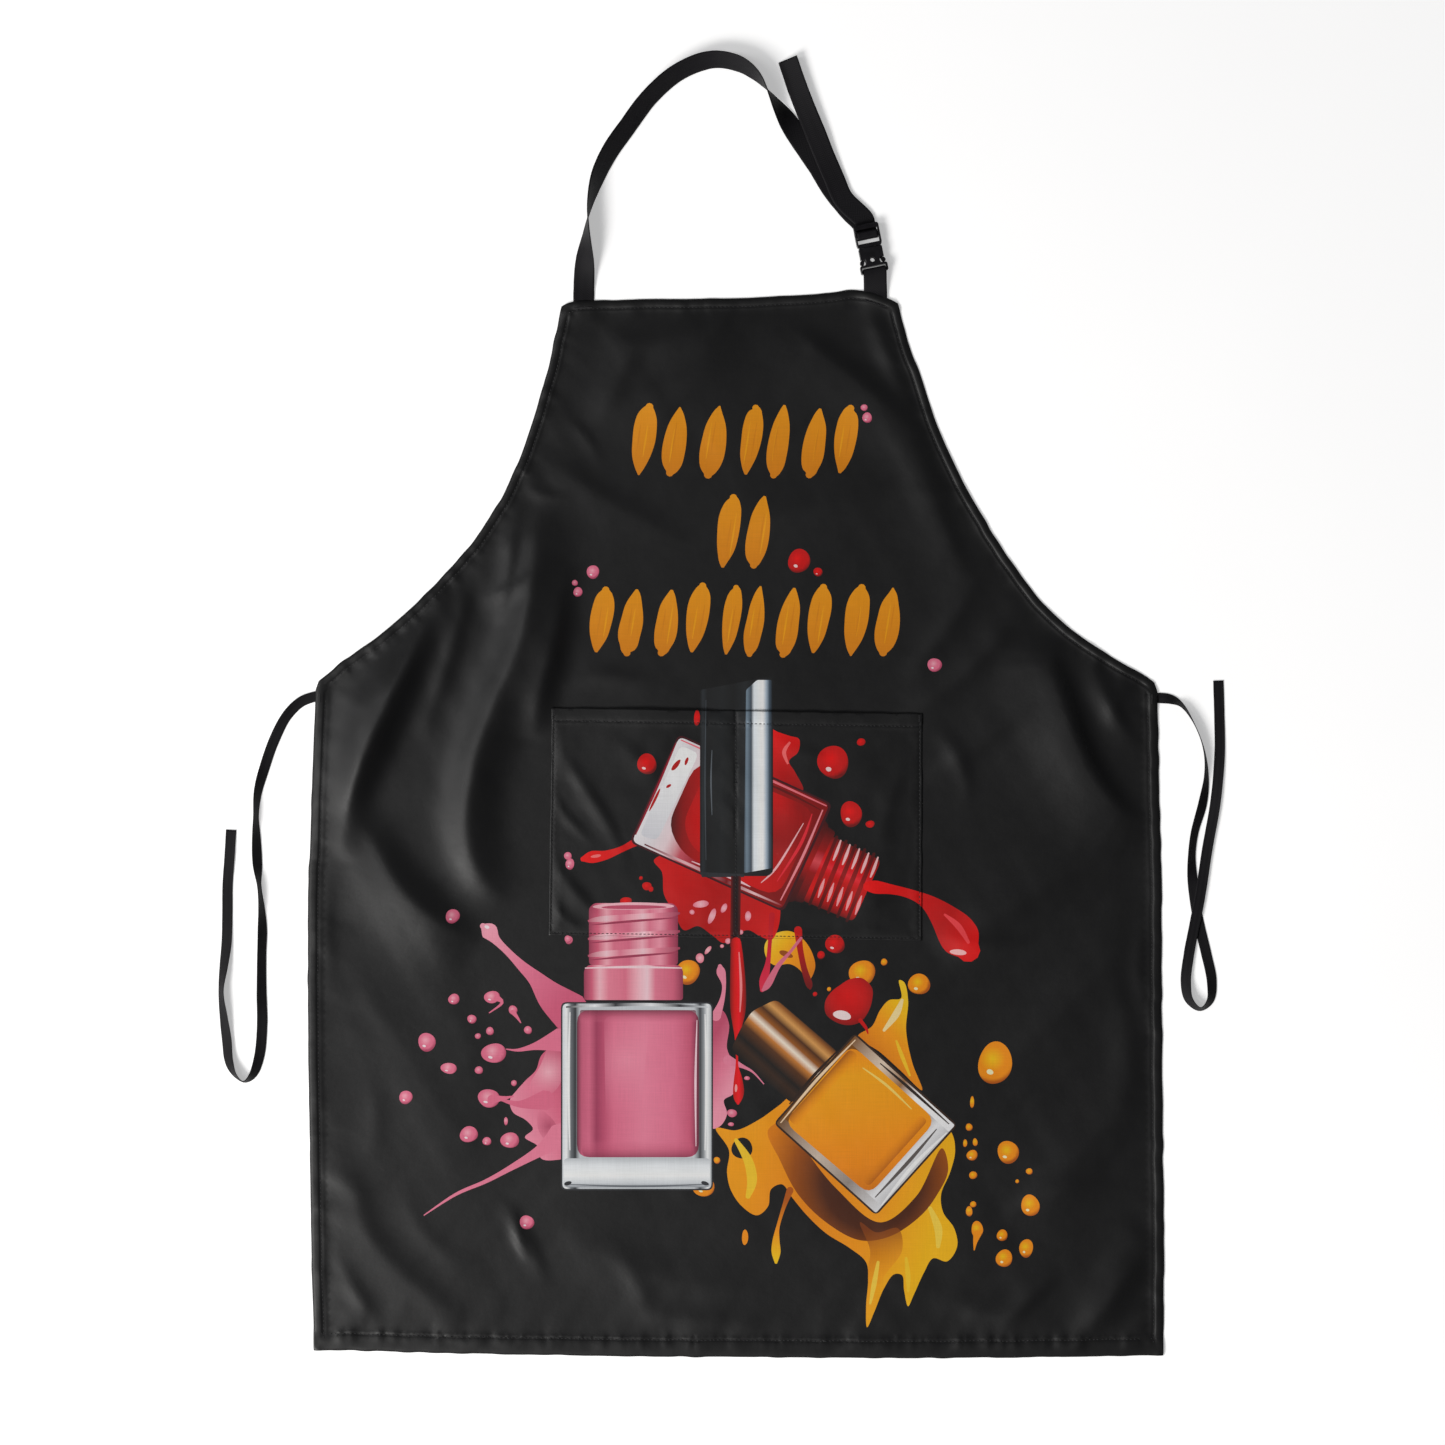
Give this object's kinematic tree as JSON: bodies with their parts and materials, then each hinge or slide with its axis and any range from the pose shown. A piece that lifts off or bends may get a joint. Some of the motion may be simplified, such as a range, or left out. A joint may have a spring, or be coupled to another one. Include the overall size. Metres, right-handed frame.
{
  "type": "bib apron",
  "caption": "Bib apron laid flat, face up, with a divided front pocket, an adjustable webbing neck strap on a side-release buckle, and loose waist ties.",
  "frame": {"origin": "on the surface the apron lies on, under the middle of the apron without its loose waist ties", "axes": "+Z out of the printed face, +Y towards the neck strap, +X to the right as seen from the printed face"},
  "size_m": [0.8054, 1.0442, 0.0171],
  "materials": {
    "cloth_black": "satin plain-weave polyester",
    "webbing_black": "woven ribbed webbing",
    "tape_black": "narrow woven tape",
    "thread_black": "twisted sewing thread",
    "buckle_plastic": "moulded, fine texture"
  },
  "bodies": {
    "apron": {"front_panel": "cloth_black", "pocket_panel": "cloth_black", "neck_strap": "webbing_black", "buckle_tab": "webbing_black", "buckle_socket": "buckle_plastic", "tie_left": "tape_black", "tie_right": "tape_black", "thread_hem_bib": "thread_black", "thread_hem_armhole_right": "thread_black", "thread_hem_armhole_left": "thread_black", "thread_hem_side_right": "thread_black", "thread_hem_side_left": "thread_black", "thread_hem_bottom": "thread_black", "thread_pocket_left": "thread_black", "thread_pocket_right": "thread_black", "thread_pocket_bottom": "thread_black", "thread_pocket_centre": "thread_black", "thread_pocket_mouth": "thread_black", "bartack_pocket_left": "thread_black", "bartack_pocket_right": "thread_black", "bartack_strap": "thread_black", "bartack_tab": "thread_black", "bartack_tie_left": "thread_black", "bartack_tie_right": "thread_black"},
    "buckle_plug_half": {"buckle_plug": "buckle_plastic", "neck_strap_tail": "webbing_black"},
    "latch_left": {"prong_left": "buckle_plastic"},
    "latch_right": {"prong_right": "buckle_plastic"}
  },
  "joints": [
    {"name": "buckle_release", "type": "slide", "parent": "apron", "child": "buckle_plug_half", "axis": [-0.1994, 0.9799, 0], "range_m": [0, 0.018], "deforming": ["neck_strap", "prong_left", "prong_right"]},
    {"name": "latch_squeeze_left", "type": "hinge", "parent": "buckle_plug_half", "child": "latch_left", "pos_m": [0.10112, 0.36476, 0.0038], "axis": [0, 0, 1], "range_deg": [0, 11], "stiffness_Nm_per_rad": 0.05},
    {"name": "latch_squeeze_right", "type": "hinge", "parent": "buckle_plug_half", "child": "latch_right", "pos_m": [0.11268, 0.36712, 0.0038], "axis": [0, 0, -1], "range_deg": [0, 11], "stiffness_Nm_per_rad": 0.05}
  ]
}
